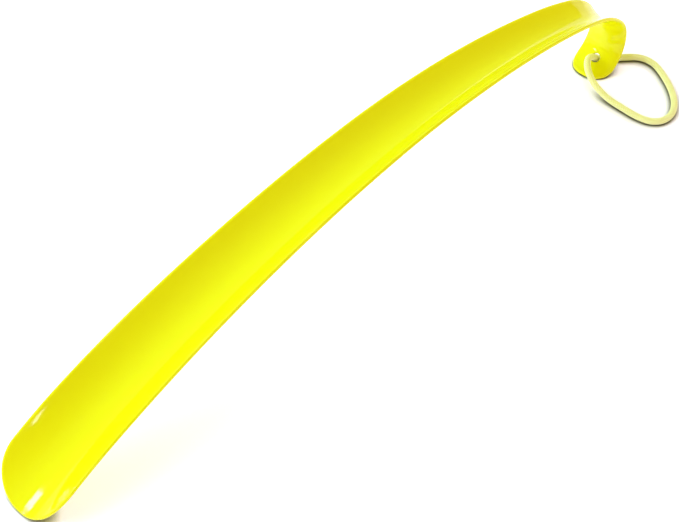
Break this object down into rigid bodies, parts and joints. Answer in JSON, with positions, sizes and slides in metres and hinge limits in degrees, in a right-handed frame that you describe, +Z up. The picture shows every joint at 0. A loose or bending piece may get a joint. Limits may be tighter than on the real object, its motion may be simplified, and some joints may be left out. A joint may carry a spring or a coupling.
{
  "type": "long shoehorn",
  "caption": "Long one-piece plastic shoehorn: a wide channel blade, a gently arched shank and a hooked end with a closed braided cord for hanging it up.",
  "frame": {"origin": "on the table under the middle of the moulding's length, midway between its two long edges", "axes": "+X along the length from the blade to the hook, +Y across the channel, +Z up from the table the part lies on"},
  "size_m": [0.6211, 0.1145, 0.0996],
  "materials": {
    "yellow_plastic": "glossy, slightly translucent lemon yellow",
    "yellow_cord": "round braided cord, pale lemon yellow"
  },
  "bodies": {
    "moulding": {"horn": "yellow_plastic"},
    "loop": {"cord_loop": "yellow_cord"}
  },
  "joints": [
    {"name": "cord_swing", "type": "hinge", "parent": "moulding", "child": "loop", "pos_m": [0.2863, 0, 0.0079], "axis": [0, 0, 1], "range_deg": [-15, 30]}
  ]
}
